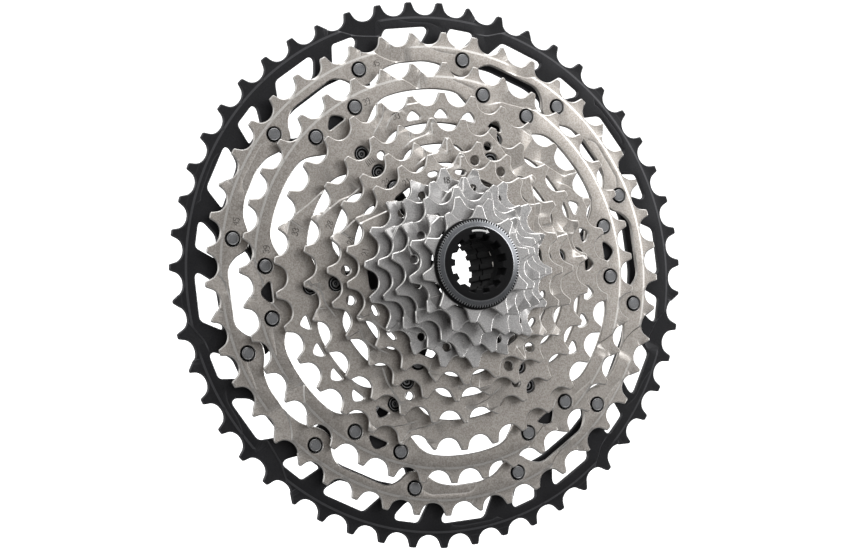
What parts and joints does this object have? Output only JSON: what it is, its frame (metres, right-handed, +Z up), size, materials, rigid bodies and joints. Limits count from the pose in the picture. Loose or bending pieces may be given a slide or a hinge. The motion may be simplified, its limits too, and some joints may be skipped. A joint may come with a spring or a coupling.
{
  "type": "bicycle cassette",
  "caption": "Bicycle rear cassette: a cone of toothed sprockets riveted to two spiders or stacked loose with spacers, held by a threaded lockring.",
  "frame": {"origin": "centre of the splined freehub bore, in the plane of the inboard seat face", "axes": "-Y outboard along the wheel axle, towards the smallest sprocket and the lockring; +Z up; +X forward as the drive side is seen"},
  "size_m": [0.2082, 0.0476, 0.2082],
  "materials": {
    "black_anodised": "black anodised, fine satin",
    "satin_nickel": "bead-blasted satin nickel with bright bevelled edges",
    "rivet_steel": "dark grey steel, satin",
    "spacer_alloy": "plain grey alloy"
  },
  "bodies": {
    "large_unit": {"carrier_large": "black_anodised", "sprocket_51t": "black_anodised", "sprocket_45t": "satin_nickel", "sprocket_39t": "satin_nickel", "rivet_45t_01": "rivet_steel", "rivet_45t_02": "rivet_steel", "rivet_45t_03": "rivet_steel", "rivet_45t_04": "rivet_steel", "rivet_45t_05": "rivet_steel", "rivet_45t_06": "rivet_steel", "rivet_45t_07": "rivet_steel", "rivet_45t_08": "rivet_steel", "rivet_45t_09": "rivet_steel", "rivet_45t_10": "rivet_steel", "rivet_45t_11": "rivet_steel", "rivet_45t_12": "rivet_steel", "rivet_39t_01": "rivet_steel", "rivet_39t_02": "rivet_steel", "rivet_39t_03": "rivet_steel", "rivet_39t_04": "rivet_steel", "rivet_39t_05": "rivet_steel", "rivet_39t_06": "rivet_steel", "rivet_39t_07": "rivet_steel", "rivet_39t_08": "rivet_steel", "rivet_39t_09": "rivet_steel", "rivet_39t_10": "rivet_steel", "rivet_39t_11": "rivet_steel", "rivet_39t_12": "rivet_steel"},
    "small_unit": {"carrier_small": "black_anodised", "sprocket_33t": "satin_nickel", "sprocket_28t": "satin_nickel", "sprocket_24t": "satin_nickel", "rivet_33t_01": "rivet_steel", "rivet_33t_02": "rivet_steel", "rivet_33t_03": "rivet_steel", "rivet_33t_04": "rivet_steel", "rivet_33t_05": "rivet_steel", "rivet_33t_06": "rivet_steel", "rivet_28t_01": "rivet_steel", "rivet_28t_02": "rivet_steel", "rivet_28t_03": "rivet_steel", "rivet_28t_04": "rivet_steel", "rivet_28t_05": "rivet_steel", "rivet_28t_06": "rivet_steel", "rivet_24t_01": "rivet_steel", "rivet_24t_02": "rivet_steel", "rivet_24t_03": "rivet_steel"},
    "ring_21t": {"sprocket_21t": "satin_nickel"},
    "spacer_21_18": {"spacer_21t_18t": "spacer_alloy"},
    "ring_18t": {"sprocket_18t": "satin_nickel"},
    "spacer_18_16": {"spacer_18t_16t": "spacer_alloy"},
    "ring_16t": {"sprocket_16t": "satin_nickel"},
    "spacer_16_14": {"spacer_16t_14t": "spacer_alloy"},
    "ring_14t": {"sprocket_14t": "satin_nickel"},
    "spacer_14_12": {"spacer_14t_12t": "spacer_alloy"},
    "ring_12t": {"sprocket_12t": "satin_nickel"},
    "spacer_12_10": {"spacer_12t_10t": "spacer_alloy"},
    "ring_10t": {"sprocket_10t": "satin_nickel"},
    "washer": {"lock_washer": "spacer_alloy"},
    "lock": {"lockring": "black_anodised"}
  },
  "joints": [
    {"name": "small_unit_slide", "type": "slide", "parent": "large_unit", "child": "small_unit", "axis": [0, -1, 0], "range_m": [0, 0.012]},
    {"name": "ring_21t_slide", "type": "slide", "parent": "small_unit", "child": "ring_21t", "axis": [0, -1, 0], "range_m": [0, 0.01]},
    {"name": "spacer_21_18_slide", "type": "slide", "parent": "ring_21t", "child": "spacer_21_18", "axis": [0, -1, 0], "range_m": [0, 0.006]},
    {"name": "ring_18t_slide", "type": "slide", "parent": "spacer_21_18", "child": "ring_18t", "axis": [0, -1, 0], "range_m": [0, 0.01]},
    {"name": "spacer_18_16_slide", "type": "slide", "parent": "ring_18t", "child": "spacer_18_16", "axis": [0, -1, 0], "range_m": [0, 0.006]},
    {"name": "ring_16t_slide", "type": "slide", "parent": "spacer_18_16", "child": "ring_16t", "axis": [0, -1, 0], "range_m": [0, 0.01]},
    {"name": "spacer_16_14_slide", "type": "slide", "parent": "ring_16t", "child": "spacer_16_14", "axis": [0, -1, 0], "range_m": [0, 0.006]},
    {"name": "ring_14t_slide", "type": "slide", "parent": "spacer_16_14", "child": "ring_14t", "axis": [0, -1, 0], "range_m": [0, 0.01]},
    {"name": "spacer_14_12_slide", "type": "slide", "parent": "ring_14t", "child": "spacer_14_12", "axis": [0, -1, 0], "range_m": [0, 0.006]},
    {"name": "ring_12t_slide", "type": "slide", "parent": "spacer_14_12", "child": "ring_12t", "axis": [0, -1, 0], "range_m": [0, 0.01]},
    {"name": "spacer_12_10_slide", "type": "slide", "parent": "ring_12t", "child": "spacer_12_10", "axis": [0, -1, 0], "range_m": [0, 0.006]},
    {"name": "ring_10t_slide", "type": "slide", "parent": "spacer_12_10", "child": "ring_10t", "axis": [0, -1, 0], "range_m": [0, 0.01]},
    {"name": "washer_slide", "type": "slide", "parent": "ring_10t", "child": "washer", "axis": [0, -1, 0], "range_m": [0, 0.006]},
    {"name": "lockring_turn", "type": "hinge", "parent": "washer", "child": "lock", "pos_m": [0, 0, 0], "axis": [0, -1, 0], "range_deg": [0, 2160]}
  ],
  "couplings": [
    {"joint": "washer_slide", "follows": "lockring_turn", "m_per_rad": 0.00015915}
  ]
}
